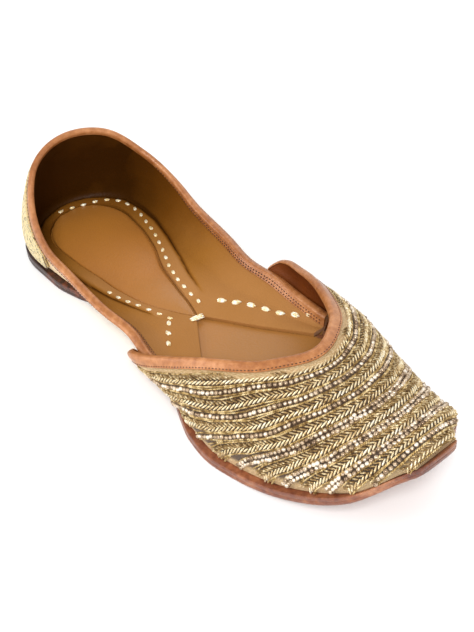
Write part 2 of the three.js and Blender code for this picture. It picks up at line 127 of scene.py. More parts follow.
def loft(name, table, closed=True, zones=None):
    """A grid moved to a table of points (stations, ring, xyz) in millimetres. Rings may be closed,
    zones gives each ring step its material, and the UV map is in millimetres."""
    if closed:
        table = np.concatenate([table, table[:, :1]], axis=1)
    stations, ring = table.shape[:2]
    bpy.ops.object.select_all(action="DESELECT")
    bpy.ops.mesh.primitive_grid_add(
        x_subdivisions=stations - 1, y_subdivisions=ring - 1, size=1, location=(0, 0, 0)
    )
    piece = bpy.context.object
    piece.name = piece.data.name = name
    mesh = piece.data
    i, j, _ = np.rint((vertices(mesh) + 0.5).T * [[stations - 1], [ring - 1], [0]]).astype(int)
    mesh.vertices.foreach_set("co", (table[i, j] * MM).ravel())
    steps = [np.linalg.norm(np.diff(table, axis=k), axis=-1).mean(axis=1 - k) for k in (0, 1)]
    u, v = (np.concatenate([[0], np.cumsum(step)]) for step in steps)
    corner = np.empty(len(mesh.loops), int)
    mesh.loops.foreach_get("vertex_index", corner)
    uv = np.stack([u[i[corner]], v[j[corner]]], -1)
    mesh.uv_layers[0].data.foreach_set("uv", uv.ravel())
    if zones is not None:
        ring_step = j[corner].reshape(-1, 4).min(axis=1)
        mesh.polygons.foreach_set("material_index", np.asarray(zones, int)[ring_step])
    bpy.ops.object.mode_set(mode="EDIT")
    bpy.ops.mesh.select_all(action="SELECT")
    bpy.ops.mesh.remove_doubles(threshold=1e-6)
    bpy.ops.mesh.fill_holes(sides=0)
    bpy.ops.mesh.normals_make_consistent(inside=False)
    bpy.ops.object.mode_set(mode="OBJECT")
    bpy.ops.object.shade_smooth_by_angle(angle=math.radians(SMOOTH_UNDER))
    return piece


def plate(name, right, left, spine, low, profile, puff=None):
    """A plate with an outline of two halves, heel to toe, as (s, x) rows. profile goes from under
    its middle to over it: share of the way to the spine, inset, and height over low(s)."""
    ring = np.concatenate([right, left[::-1][1:]])
    middle = np.clip(ring[:, 0], spine[0], spine[1])
    centre = np.stack([middle, spine[2](middle) if len(spine) > 2 else 0 * middle], -1)
    inward = centre - ring
    inward /= np.maximum(np.linalg.norm(inward, axis=-1, keepdims=True), 1e-6)
    columns = []
    for share, inset, height in profile:
        at = mix(ring, centre, share) + inward * inset
        rise = height if puff is None else puff(at[:, 0], share, height)
        columns.append(point(at[:, 0], at[:, 1], low(at[:, 0]) + rise))
    return loft(name, np.stack(columns, 1), closed=False)


def rgb(code):
    """A colour written as six hex digits, as the shader wants it."""
    part = np.array([int(code[k : k + 2], 16) / 255 for k in (0, 2, 4)])
    linear = np.where(part <= 0.04045, part / 12.92, ((part + 0.055) / 1.055) ** 2.4)
    return (*linear, 1.0)


def wire(tree, kind, inputs=None, **settings):
    """Adds a node, and fills its sockets with values or with other nodes' outputs."""
    node = tree.nodes.new("ShaderNode" + kind)
    for key, value in settings.items():
        setattr(node, key, value)
    for key, value in (inputs or {}).items():
        if isinstance(value, bpy.types.NodeSocket):
            tree.links.new(value, node.inputs[key])
        else:
            node.inputs[key].default_value = value
    return node


def ramp(tree, factor, *stops):
    """Colours along a factor, as (place, hex colour) stops."""
    node = wire(tree, "ValToRGB", {"Fac": factor})
    while len(node.color_ramp.elements) < len(stops):
        node.color_ramp.elements.new(1)
    for element, (place, colour) in zip(node.color_ramp.elements, stops):
        element.position = place
        element.color = rgb(colour)
    return node.outputs["Color"]


def spread(tree, value, low, high, to_low=0.0, to_high=1.0):
    """A value carried from one range to another, and kept inside it."""
    inputs = {"Value": value, "From Min": low, "From Max": high}
    inputs |= {"To Min": to_low, "To Max": to_high}
    return wire(tree, "MapRange", inputs, clamp=True).outputs["Result"]


def calc(tree, operation, a, b):
    return wire(tree, "Math", {0: a, 1: b}, operation=operation).outputs[0]


def weigh(tree, a, b, share):
    """Two values in one, the first with a given share."""
    return calc(tree, "ADD", calc(tree, "MULTIPLY", a, share), calc(tree, "MULTIPLY", b, 1 - share))


def specks(tree, place, scale, detail=2.0, roughness=0.5):
    """Noise over a piece, finer as its scale rises."""
    inputs = {"Vector": place["Object"], "Scale": scale, "Detail": detail, "Roughness": roughness}
    return wire(tree, "TexNoise", inputs).outputs["Fac"]


def along_shoe(tree, place, *ends):
    """A value that runs along the shoe between two places, given in metres towards the heel."""
    return spread(tree, wire(tree, "SeparateXYZ", {"Vector": place["Object"]}).outputs["Y"], *ends)


def group(name, inputs, outputs):
    """An empty node group with float or vector inputs, and its two end nodes."""
    tree = bpy.data.node_groups.new(name, "ShaderNodeTree")
    for key, start in inputs.items():
        kind = "NodeSocketVector" if start is None else "NodeSocketFloat"
        socket = tree.interface.new_socket(key, in_out="INPUT", socket_type=kind)
        if start is not None:
            socket.default_value = start
    for key in outputs:
        tree.interface.new_socket(key, in_out="OUTPUT", socket_type="NodeSocketFloat")
    return tree, tree.nodes.new("NodeGroupInput").outputs, tree.nodes.new("NodeGroupOutput").inputs


# Leather grain: rounded pebbles of a given size in metres, with creases, and a slow change of tone
grain_size = {"Vector": None, "Size": 0.001}
leather_grain, inp, out = group("leather grain", grain_size, ("Height", "Tone"))
per_metre = calc(leather_grain, "DIVIDE", 1.0, inp["Size"])
cells = {"Vector": inp["Vector"], "Scale": per_metre, "Smoothness": 0.5}
pebble = wire(leather_grain, "TexVoronoi", cells, feature="SMOOTH_F1").outputs["Distance"]
finer = calc(leather_grain, "MULTIPLY", per_metre, 1.7)
fine = wire(leather_grain, "TexNoise", {"Vector": inp["Vector"], "Scale": finer, "Detail": 3.0})
rise = calc(leather_grain, "SUBTRACT", fine.outputs["Fac"], pebble)
leather_grain.links.new(calc(leather_grain, "MULTIPLY", rise, 0.5), out["Height"])
cloud = wire(leather_grain, "TexNoise", {"Vector": inp["Vector"], "Scale": 45.0, "Detail": 4.0})
leather_grain.links.new(cloud.outputs["Fac"], out["Tone"])

# Scuffs: short rubbed streaks and specks, more of them as the amount rises
scuffs, inp, out = group("scuffs", {"Vector": None, "Amount": 0.3}, ("Mask",))
rubbed = {"Vector": inp["Vector"], "Scale": 260.0, "Detail": 5.0, "Roughness": 0.7}
streak = wire(scuffs, "TexNoise", rubbed)
patchy = wire(scuffs, "TexNoise", {"Vector": inp["Vector"], "Scale": 60.0, "Detail": 2.0})
both = calc(scuffs, "MULTIPLY", streak.outputs["Fac"], patchy.outputs["Fac"])
edge = calc(scuffs, "SUBTRACT", 0.42, calc(scuffs, "MULTIPLY", inp["Amount"], 0.2))
over = calc(scuffs, "SUBTRACT", both, edge)
scuffs.links.new(spread(scuffs, over, 0.0, 0.08), out["Mask"])


def use(tree, made, **inputs):
    """Places a node group in a material."""
    return wire(tree, "Group", inputs, node_tree=made).outputs


def finish(name, shader, build):
    """A material: shader gives its fixed numbers, and build wires what changes over the surface."""
    made = bpy.data.materials.new(name)
    made.use_nodes = True
    tree = made.node_tree
    bsdf = tree.nodes["Principled BSDF"]
    for key, value in shader.items():
        bsdf.inputs[key].default_value = value
    place = wire(tree, "TexCoord").outputs
    for key, socket in build(tree, place).items():
        tree.links.new(socket, bsdf.inputs[key])
    return made


def relief(tree, height, depth):
    """A bump of a given depth in metres."""
    return wire(tree, "Bump", {"Height": height, "Distance": depth}).outputs["Normal"]


def grain_of(tree, place, size):
    return use(tree, leather_grain, Vector=place["Object"], Size=size)


def worn(tree, place, colour, amount, dull, height, depth):
    """What a leather's surface needs: its colour, a roughness that scuffs raise, and its relief."""
    rub = use(tree, scuffs, Vector=place["Object"], Amount=amount)["Mask"]
    return {
        "Base Color": colour,
        "Roughness": spread(tree, rub, 0, 1, *dull),
        "Normal": relief(tree, height, depth),
    }


def sole_edge_look(tree, place):
    grain = grain_of(tree, place, 0.0006)
    mottle = calc(tree, "ADD", specks(tree, place, 420.0, 4.0), 0.5)
    # Painted shade: the edge's colour darkens towards the heel and the waist.
    painted_heel_shade = along_shoe(tree, place, 0.05, -0.03, -0.28, 0.06)
    tone = calc(tree, "ADD", calc(tree, "MULTIPLY", grain["Tone"], mottle), painted_heel_shade)
    stops = (0.25, "2c1008"), (0.42, "6a341e"), (0.58, "8f5434"), (0.78, "b67a54")
    colour = ramp(tree, tone, *stops)
    return worn(tree, place, colour, 0.5, (0.38, 0.62), grain["Height"], 0.00025)


def dress(piece, materials, node=None):
    """Gives a piece its materials, and says what it rides on, wears and stands for."""
    for made in materials:
        piece.data.materials.append(made)
    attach(piece, "root")
    if node:
        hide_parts(node)
    return piece


sole_leather = finish("sole leather", {"Coat Weight": 0.15, "Coat Roughness": 0.3}, sole_edge_look)
turn = np.linspace(0, math.pi / 2, 30)
heel_arc = np.stack([HEEL_ROUND * (1 - np.cos(turn)), HEEL_HALF * np.sin(turn)], -1)
side_line = np.linspace(31, 246.5, 120)
waist = WAIST_TRIM * smoothstep(58, 86, side_line) * (1 - smoothstep(114, 142, side_line))
nose = np.stack([247 + 3 * np.sin(turn) ** 0.9, 10.5 * np.cos(turn).clip(0) ** 0.7], -1)
side = np.stack([side_line, sole_half(side_line) - waist], -1)
sole_half_line = np.concatenate([heel_arc, side, nose])
right = evenly(sole_half_line, 170)
left = right * (1, -1)
inner_shares = (0.08, 0.2, 0.4, 0.6, 0.8, 1)
under_face = [(share, 0, 0) for share in inner_shares[::-1]]
edge_face = [
    (0, 0.6, 0), (0, 0.2, 0.12), (0, 0, 0.6), (0, 0, 1.9), (0, 0.14, 2.15), (0, 0, 2.4),
    (0, 0, 3.9), (0, 0.2, 4.38), (0, 0.6, SOLE_THICK),
]  # fmt: skip
over_face = [(share, 0, SOLE_THICK) for share in inner_shares]
outsole = plate("outsole", right, left, (24, 240), sole_under, under_face + edge_face + over_face)
dress(outsole, [sole_leather], "outsole")

# ---- Insole ----
# A thin tan leather plate that lies on the outsole inside the upper. The turned-in margins of the
# quarter cover its rear half, and its bare front half shows through the throat.
LAP, MOST_SLOPE = WALL + BIND + 4 * GAP, 1.6
INSOLE_INSET, INSOLE_END = LEDGE + WALL + 5 * GAP, 238.0


def insole_half(s):
    k = np.clip((HEEL_ROUND - s) / (HEEL_ROUND - INSOLE_INSET), 0, 1)
    side = sole_half(s) - INSOLE_INSET - MOST_SLOPE * LAP * smoothstep(88, 110, s)
    back = np.maximum((HEEL_HALF - INSOLE_INSET) * np.sqrt(1 - k * k), 1.5)
    return np.where(s >= HEEL_ROUND, side, back)


def tan_look(tree, place):
    grain = grain_of(tree, place, 0.0009)
    # Painted light: the tan is lighter towards the heel, against the shade the heel walls cast
    # there, and duller towards the front.
    shade = weigh(tree, along_shoe(tree, place, 0.1, 0.0), grain["Tone"], 0.5)
    colour = ramp(tree, shade, (0.15, "b6762c"), (0.45, "ad7030"), (0.8, "a06c32"))
    return worn(tree, place, colour, 0.25, (0.42, 0.6), grain["Height"], 0.00018)


tan_leather = finish("tan leather", {"Coat Weight": 0.12, "Coat Roughness": 0.35}, tan_look)
back = np.linspace(0, math.pi / 2, 24)
round_back = INSOLE_INSET + (HEEL_ROUND - INSOLE_INSET) * (1 - np.cos(back))
insole_s = np.concatenate([round_back, np.linspace(31, INSOLE_END, 100)])
insole_line = np.stack([insole_s, insole_half(insole_s)], -1)
insole_line = evenly(np.concatenate([[[insole_s[0], 0]], insole_line, [[INSOLE_END, 0]]]), 110)
thin = [(share, 0, 0) for share in (1, 0.5, 0.1, 0)] + [(0, 0, 1.2), (0, 0.3, INSOLE_THICK)]
thin += [(share, 0, INSOLE_THICK) for share in (0.1, 0.3, 0.65, 1)]
on_outsole = lambda s: sole_top(s) + GAP
insole = plate("insole", insole_line, insole_line * (1, -1), (26, 230), on_outsole, thin)
dress(insole, [tan_leather], "insole")

# ---- Quarter ----
# One wall of pale gold leather round the heel, lined in brown and open at the waist; the lining's
# colour is painted darker towards the heel as shade. Its lower margin is turned in over the insole,
# and its front ends are cut square and tucked in the vamp.
QUARTER_END, COLLAR_BACK, COLLAR_ROUND, COLLAR_HALF, HEEL_SHARE = 155.0, 20.0, 37.0, 36.0, 0.35
SOCK_BACK, SOCK_ROUND, SOCK_POINT, POINT_WAY, HEEL_SWELL = 12.0, 22.0, 114.0, 0.8, 3.0
SOCK_WIDEST, SOCK_HALF = SOCK_BACK + SOCK_ROUND, 19.5
LAST_AT = (60, 100, 120, 140, 160, 180, 200, 220, 235, 243, 247)
belly = curve(zip(LAST_AT, (26, 33, 35, 20, 7, 3, 1, 1, 1, 0.8, 0.5)))
lift = curve(zip(LAST_AT, (12, 9, 9, 12, 17, 17, 14, 10.5, 7, 4.5, 1.5)))
crown = curve(zip(LAST_AT, (34, 36, 36, 34, 32, 30, 26, 20, 14, 8, 3)))
ridge = curve(zip(LAST_AT, (44, 42, 41, 40, 39, 38, 32, 22, 13.5, 8, 2.6)))
RIM_AT, SOCK_AT = (20, 26, 38, 57, 77, 115, 155), (SOCK_WIDEST, 48, 62, 78, 92, 105, 114)
rim_z = curve(zip(RIM_AT, (55, 51.5, 40.5, 28.5, 22.5, 16.8, 13)))
rim_half = curve(zip(RIM_AT, (0, 18, 30.5, 36, 33.5, 36, 37)))
sock_half_line = curve(zip(SOCK_AT, (SOCK_HALF, 18.5, 16, 12, 9, 4.5, 0.4)))
sock_middle = curve(zip(SOCK_AT, (0, -0.5, -1.5, -4, -4.5, -2.5, -1)))


def section(s, inset=0.0):
    """Control points of the last's cross-section: half widths, then heights."""
    foot = sole_half(s) - LEDGE + 1.8 * smoothstep(226, 240, s)
    low = sole_top(s) + GAP
    wide = foot - inset, foot + belly(s) - inset, crown(s) - 0.6 * inset
    return wide, (low, low + lift(s) - 0.3 * inset, low + ridge(s) - inset)


def on_section(wide, high, t):
    b0, b1, b2, b3 = (1 - t) ** 3, 3 * (1 - t) ** 2 * t, 3 * (1 - t) * t * t, t**3
    half = b0 * wide[0] + b1 * wide[1] + b2 * wide[2]
    return half, b0 * high[0] + b1 * high[1] + (b2 + b3) * high[2]


def last(s, across, inset=0.0):
    """Cross-section of the last, from the sole (across 0) to the ridge (across 1)."""
    return on_section(*section(s, inset), across)


def last_half(s, z):
    """Half width of the last at a height, found by halving."""
    s, z = np.broadcast_arrays(np.asarray(s, float), z)
    shape = section(s)
    a, b = np.zeros(s.shape), np.ones(s.shape)
    for _ in range(20):
        m = (a + b) / 2
        below = on_section(*shape, m)[1] < z
        a, b = np.where(below, m, a), np.where(below, b, m)
    return on_section(*shape, a)[0]


def lap_at(s, z):
    slope = (last_half(s, z + 1) - last_half(s, z - 1)) / 2
    return LAP * np.minimum(MOST_SLOPE, np.hypot(1, slope)) * smoothstep(93, 113, s)


def heel_turn(way):
    """The angle turned round the heel, and the share gone of the side in front of it."""
    turned = np.minimum(way, HEEL_SHARE) / HEEL_SHARE * math.pi / 2
    return turned, np.maximum(0, way - HEEL_SHARE) / (1 - HEEL_SHARE)


def wall_foot(way):
    turned, past = heel_turn(way)
    s = np.where(past > 0, mix(HEEL_ROUND, QUARTER_END, past),
                 LEDGE + (HEEL_ROUND - LEDGE) * (1 - np.cos(turned)))  # fmt: skip
    return s, np.where(past > 0, sole_half(s) - LEDGE, (HEEL_HALF - LEDGE) * np.sin(turned))


def wall_rim(way):
    turned, past = heel_turn(way)
    s = np.where(past > 0, mix(COLLAR_BACK + COLLAR_ROUND, QUARTER_END, past),
                 COLLAR_BACK + COLLAR_ROUND * (1 - np.cos(turned)))  # fmt: skip
    return s, np.where(past > 0, rim_half(s), COLLAR_HALF * np.sin(turned)), rim_z(s)


def wall_surface(way, up):
    foot_s, foot_x = wall_foot(way)
    rim_s, rim_x, high = wall_rim(way)
    s = mix(foot_s, rim_s, up)
    z = mix(sole_top(foot_s) + GAP, high, up)
    swell = HEEL_SWELL * (1 - smoothstep(0.2, 0.6, way)) * np.sin(np.pi * np.clip(up, 0, 1))
    turned = heel_turn(way)[0]
    heel = mix(foot_x, rim_x, up) + swell * np.sin(turned)
    x = mix(heel, last_half(s, z) - lap_at(s, z), smoothstep(50, 95, s))
    return s - swell * np.cos(turned), x, z


SOFTEN = [(shift, math.exp(-((shift / 0.045) ** 2))) for shift in np.linspace(-0.09, 0.09, 7)]


def soft_wall(way, up):
    """The wall with the turns of its plan eased in front of the heel, as pulled leather lies."""
    s, x, z = wall_surface(way, up)
    near = [(wall_surface(np.clip(way + shift, 0, 1), up)[1], weight) for shift, weight in SOFTEN]
    eased = sum(value * weight for value, weight in near) / sum(weight for _, weight in near)
    return s, mix(x, eased, smoothstep(0.36, 0.5, way) * (1 - smoothstep(0.93, 1, way))), z


def unit(v):
    return v / np.maximum(np.linalg.norm(v, axis=-1, keepdims=True), 1e-9)


def on_sole(p):
    p[..., 2] = np.maximum(p[..., 2], sole_top(LENGTH / 2 - p[..., 1]) + GAP)
    return p


def wall(u, up, out):
    """Points on the quarter's outside, moved out along its normal. u runs from -1 to 1 round the
    heel, up from the foot to the rim."""
    u, up, out = np.broadcast_arrays(np.asarray(u, float), up, out)

    def at(w, k):
        s, x, z = soft_wall(np.abs(w), k)
        return point(s, np.where(w < 0, -x, x), z)

    step = 0.004
    around = at(np.minimum(1, u + step), up) - at(np.maximum(-1, u - step), up)
    rise = at(u, up + step) - at(u, up - step)
    return on_sole(at(u, up) + unit(np.cross(rise, around)) * out[..., None])


def margin_low(s):
    return sole_top(s) + GAP + INSOLE_THICK + GAP


def margin_edge(way):
    """The turned-in margin's inner edge: round the heel sock, to its point, out to the front."""
    turned = heel_turn(way)[0]
    k = np.clip((way - HEEL_SHARE) / (POINT_WAY - HEEL_SHARE), 0, 1)
    at_heel, back_s = way <= HEEL_SHARE, SOCK_BACK + SOCK_ROUND * (1 - np.cos(turned))
    s = np.where(at_heel, back_s, mix(SOCK_WIDEST, SOCK_POINT, k))
    x = np.where(at_heel, SOCK_HALF * np.sin(turned), sock_half_line(s))
    middle = np.where(at_heel, 0, sock_middle(s))
    k = np.clip((way - POINT_WAY) / (1 - POINT_WAY), 0, 1)
    end_s, end_x = wall_foot(1.0)
    s = np.where(k > 0, mix(SOCK_POINT, end_s, k), s)
    x = np.where(k > 0, mix(0.4, end_x - MOST_SLOPE * LAP - WALL - 2, k), x)
    return s, x, np.where(k > 0, mix(-1, 0, k), middle)


def quarter_table(u):
    """Sections of the quarter: up the outside, over the rim, down the lining, round the fold, over
    the margin to its edge and back underneath."""
    way, side = np.abs(u), np.where(u < 0, -1, 1)
    foot_s = wall_foot(way)[0]
    base, high = sole_top(foot_s) + GAP, wall_rim(way)[2]
    share = lambda z: (z - base) / (high - base)
    edge_s, edge_x, middle = margin_edge(way)
    tip = point(edge_s, middle + side * edge_x, margin_low(edge_s))
    up = [0, 0, 1]
    top = share(margin_low(foot_s) + WALL)
    fold = np.minimum(top + share(base + 4), 0.8)
    ring = [wall(u, k, 0) for k in np.linspace(0, 1, OUTSIDE_ROWS)]
    ring += [wall(u, 1, -0.2), wall(u, 1, -0.8), wall(u, 1, -1.4)]
    ring += [wall(u, mix(1, fold, k), -WALL) for k in np.linspace(0, 1, 14)]
    a, c = wall(u, fold, -WALL), wall(u, top, -WALL)
    inward = tip + np.multiply(WALL, up) - c
    reach = np.linalg.norm(inward, axis=-1, keepdims=True)
    b = c + inward * np.minimum(0.3, 3.5 / np.maximum(reach, 1e-6))
    for k in (0.15, 0.3, 0.45, 0.6, 0.75, 0.9):
        ring.append(a * (1 - k) ** 2 + c * 2 * k * (1 - k) + b * k * k)
    for k in np.linspace(0, 1, 44):
        lie = mix(b, tip + np.multiply(WALL, up), k)
        ring.append(lie + np.multiply(0.3 * math.sin(math.pi * k) - 0.25 * (k == 1), up))
    ring += [tip + np.multiply(WALL * 0.5, up), tip, mix(tip, c, 0.5) * (1, 1, 0) + tip * (0, 0, 1)]
    ring += [wall(u, share(margin_low(foot_s)), -WALL), wall(u, 0, -WALL)]
    return np.stack(ring, 1)


def lining_look(tree, place):
    grain = grain_of(tree, place, 0.0009)
    # Painted shade: the lining's colour darkens towards the heel, near black at its back.
    shade = weigh(tree, along_shoe(tree, place, 0.1, 0.012), grain["Tone"], 0.75)
    # The strip mark keeps the turned-in strip 0.32 lighter than the painted shade of the walls, and
    # the crease mark paints a dark line of shade along the crease.
    for key, amount in (("strip", 0.32), ("crease", -0.42)):
        mark = wire(tree, "Attribute", attribute_name=key).outputs["Fac"]
        shade = calc(tree, "ADD", shade, calc(tree, "MULTIPLY", mark, amount))
    stops = (0.12, "3e2104"), (0.4, "704310"), (0.66, "956226"), (0.95, "a67442")
    colour = ramp(tree, shade, *stops)
    return worn(tree, place, colour, 0.3, (0.45, 0.62), grain["Height"], 0.00018)


def pale_gold_look(tree, place):
    grain = grain_of(tree, place, 0.0007)
    colour = ramp(tree, grain["Tone"], (0.25, "caa26a"), (0.5, "dcbc88"), (0.75, "ecd6aa"))
    return worn(tree, place, colour, 0.35, (0.34, 0.55), grain["Height"], 0.0002)


def plain_grain(size, depth, *stops):
    """The look of a plain leather or thread: its grain in two tones, with a little relief."""

    def look(tree, place):
        grain = grain_of(tree, place, size)
        colour = ramp(tree, grain["Tone"], *stops)
        return {"Base Color": colour, "Normal": relief(tree, grain["Height"], depth)}

    return look


CREASE = [
    (104, 9.2), (90.3, 12.8), (78, 17.4), (61.4, 22.5), (48, 25.8), (37.3, 26.2), (24.7, 25),
    (16.1, 19.2), (10.5, 13), (7.2, 4.4), (7.2, -2.3), (10.5, -13), (16.1, -19.2), (24.7, -25),
    (37.3, -26.2), (48, -26), (61.4, -24.4), (78, -21.5), (90, -18.5), (100, -15),
]  # fmt: skip
crease_line = evenly(np.array(CREASE, float), 500)


def in_strip(points):
    """How far points lie from the crease round the turned-in strip, and whether they are in it."""
    plan = np.stack([LENGTH / 2 - points[..., 1], points[..., 0]], -1).reshape(-1, 2)
    away = np.linalg.norm(plan[:, None] - crease_line[None], axis=-1)
    nearest = crease_line[away.argmin(axis=1)]
    level = nearest[:, 0]
    centre = [np.clip(level, SOCK_WIDEST, 110), sock_middle(np.clip(level, SOCK_WIDEST, 113))]
    centre = np.stack(centre, -1)
    inside = np.linalg.norm(plan - centre, axis=-1) < np.linalg.norm(nearest - centre, axis=-1)
    front = 1 - smoothstep(96, 108, plan[:, 0])
    low = points[..., 2].reshape(-1) < sole_top(plan[:, 0]) + 9
    return [rows.reshape(points.shape[:-1]) for rows in (away.min(axis=1), inside * front * low)]


lining = finish("lining leather", {"Specular IOR Level": 0.08}, lining_look)
gold_sheen = {"Metallic": 0.2, "Coat Weight": 0.2, "Coat Roughness": 0.25}
pale_gold = finish("pale gold leather", gold_sheen, pale_gold_look)
cut_look = plain_grain(0.0004, 0.0003, (0.3, "b07c58"), (0.7, "d0a078"))
cut_edge = finish("cut leather edge", {"Roughness": 0.75}, cut_look)
FOLD_FIRST, MARGIN_LAST, OUTSIDE_ROWS, CREASE_DEPTH = 33, 82, 16, 0.6
round_heel = np.linspace(-1, 1, 221)
table = quarter_table(round_heel)
away, inside = in_strip(table)
upper_side = np.zeros(table.shape[1])
upper_side[FOLD_FIRST:MARGIN_LAST] = 1
fade = (1 - smoothstep(94, 108, LENGTH / 2 - table[..., 1])) * upper_side
table[..., 2] += fade * (0.4 * inside - CREASE_DEPTH * np.exp(-((away / 1.05) ** 2)))
zones = np.ones(table.shape[1], int)
zones[:OUTSIDE_ROWS] = 0
quarter = loft("quarter", table, zones=zones)
spot = vertices(quarter.data) / MM
away, inside = in_strip(spot)
front = 1 - smoothstep(94, 108, LENGTH / 2 - spot[:, 1])
# The crease mark paints shade along the crease in the lining's colour.
for key, value in (("strip", inside * 1.0), ("crease", front * np.exp(-((away / 1.0) ** 2)))):
    quarter.data.attributes.new(key, "FLOAT", "POINT").data.foreach_set("value", value)
dress(quarter, [pale_gold, lining, cut_edge], "quarter")
for face in quarter.data.polygons:
    if len(face.vertices) > 4:
        face.material_index = 2

# ---- Heel sock ----
# A padded teardrop of plain tan leather under the wearer's heel, glued down inside the turned-in
# margin. A thin sheet of foam under it makes it crowned.
SOCK_EDGE, SOCK_CROWN = 1.2, 1.9
sock_back = SOCK_BACK + 3 * GAP + SOCK_ROUND * (1 - np.cos(np.linspace(0, math.pi / 2, 26)))
k = np.clip((SOCK_WIDEST - sock_back) / SOCK_ROUND, 0, 1)
back_half = np.maximum((SOCK_HALF - GAP) * np.sqrt(1 - k * k) - 2 * GAP, 0.0)
sock_s = np.linspace(35.5, 113, 60)
front_half = np.maximum(sock_half_line(sock_s) - 3 * GAP, 0.25)
sock_line = np.stack([[*sock_back, *sock_s], [*back_half, *front_half]], -1)
sock_line = evenly(np.concatenate([[[sock_back[0], 0]], sock_line]), 90)
right, left = sock_line.copy(), sock_line * (1, -1)
right[:, 1] += sock_middle(right[:, 0])
left[:, 1] += sock_middle(left[:, 0])


def sock_puff(s, share, height):
    """The pad's rise: quick behind its edge, then a flat crown, lower where the sock is narrow."""
    wide = np.clip((sock_half_line(np.maximum(s, SOCK_WIDEST)) - 3 * GAP) / 12, 0.1, 1)
    crown_rise = SOCK_CROWN * wide * (1 - (1 - share) ** 2.2) * (height > 0.5)
    return height * mix(0.75, 1, wide) + crown_rise


pad = [(1, 0, 0), (0.5, 0, 0), (0, 0.3, 0), (0, 0, 0.3), (0, 0, 0.8)]
pad += [(0, 0.15, 1.1), (0, 0.45, 1.25)]
pad += [(share, 0, SOCK_EDGE) for share in (0.06, 0.12, 0.2, 0.3, 0.42, 0.56, 0.7, 0.85, 1)]
heel_sock = plate("heel_sock", right, left, (32, 100, sock_middle), margin_low, pad, puff=sock_puff)
dress(heel_sock, [tan_leather], "heel_sock")

# ---- Counter patch ----
# Gold brocade wrapped round the back of the heel as far as a curved seam on each side, where its
# raw edge is caught under a dark thread. Dark warp shows through it in flecks.
COUNTER_REACH, PATCH_DROP = 0.345, 3.6


def rim_rise(u):
    """Length of the wall's slope below its rim, for a whole rise from foot to rim."""
    return np.linalg.norm(wall(u, 1, 0) - wall(u, 0.96, 0), axis=-1) / 0.04


def patch_band(k, up):
    """How far round the wall the patch reaches. k runs from -1 to 1 between its two seams."""
    return k * COUNTER_REACH * (1 + 0.12 * np.sin(np.pi * up))


def patch_reach(k):
    """Height of the patch, as a share of the wall's, so that it ends under the binding."""
    return 1 - PATCH_DROP / rim_rise(patch_band(k, 0.5))


# Woven cloth: threads that cross at a given pitch in millimetres of the piece's own UV map
weave, inp, out = group("weave", {"Vector": None, "Pitch": 0.5}, ("Height", "Tone"))
turns = calc(weave, "DIVIDE", 2 * math.pi, inp["Pitch"])
axes = wire(weave, "SeparateXYZ", {"Vector": inp["Vector"]}).outputs
warp = calc(weave, "SINE", calc(weave, "MULTIPLY", axes["X"], turns), 0.0)
weft = calc(weave, "SINE", calc(weave, "MULTIPLY", axes["Y"], turns), 0.0)
cross = calc(weave, "MULTIPLY", warp, weft)
weave.links.new(spread(weave, cross, -1, 1), out["Height"])
uneven = {"Vector": inp["Vector"], "Scale": 1.4, "Detail": 4.0, "Roughness": 0.65}
slub = wire(weave, "TexNoise", uneven)
weave.links.new(slub.outputs["Fac"], out["Tone"])


def brocade_look(tree, place):
    cloth = use(tree, weave, Vector=place["UV"], Pitch=0.55)
    ragged = {"Vector": place["UV"], "Scale": 0.5, "Detail": 5.0, "Roughness": 0.75}
    fleck = wire(tree, "TexNoise", ragged)
    dark = spread(tree, fleck.outputs["Fac"], 0.545, 0.59)
    shine = ramp(tree, cloth["Tone"], (0.3, "d8b468"), (0.46, "fce09a"), (0.62, "fff4c8"))
    flecks = wire(tree, "Mix", {0: dark, 6: shine, 7: rgb("3a2c14")}, data_type="RGBA")
    return {
        "Base Color": flecks.outputs[2],
        "Roughness": spread(tree, dark, 0, 1, 0.36, 0.8),
        "Metallic": spread(tree, dark, 0, 1, 0.05, 0.0),
        "Normal": relief(tree, cloth["Height"], 0.0003),
    }


brocade = finish("gold brocade", {}, brocade_look)
k = np.linspace(-1, 1, 121)
rise = np.linspace(0, 1, 26)
wide, tall = k[:, None], rise[None]
face = patch_band(wide, tall), tall * patch_reach(k)[:, None]
outer = wall(*face, 0.55 + 0.55 * np.sin(np.pi / 2 * np.minimum(1, 6 * tall + 0.2)))
inner = wall(*face, 0.4)[:, ::-1]
counter_patch = loft("counter_patch", np.concatenate([outer, inner], 1))
dress(counter_patch, [brocade], "counter_patch")

# ---- Collar binding ----
# A strip of copper-peach leather folded over the quarter's rim and stitched through, narrow inside
# at the heel and wider inside towards the front. Its fold stands as a soft shiny roll.
BAND_IN_HEEL, BAND_IN_FRONT, RIM_GAP = 1.6, 4.6, 0.45


def band_inside(u):
    return mix(BAND_IN_HEEL, BAND_IN_FRONT, smoothstep(0.25, 0.6, np.abs(u)))


def copper_look(tree, place):
    grain = grain_of(tree, place, 0.0006)
    tone = weigh(tree, grain["Tone"], specks(tree, place, 420.0, 4.0), 0.5)
    colour = ramp(tree, tone, (0.32, "8c5024"), (0.5, "ab6c3a"), (0.68, "c88a58"))
    return worn(tree, place, colour, 0.45, (0.32, 0.55), grain["Height"], 0.0002)


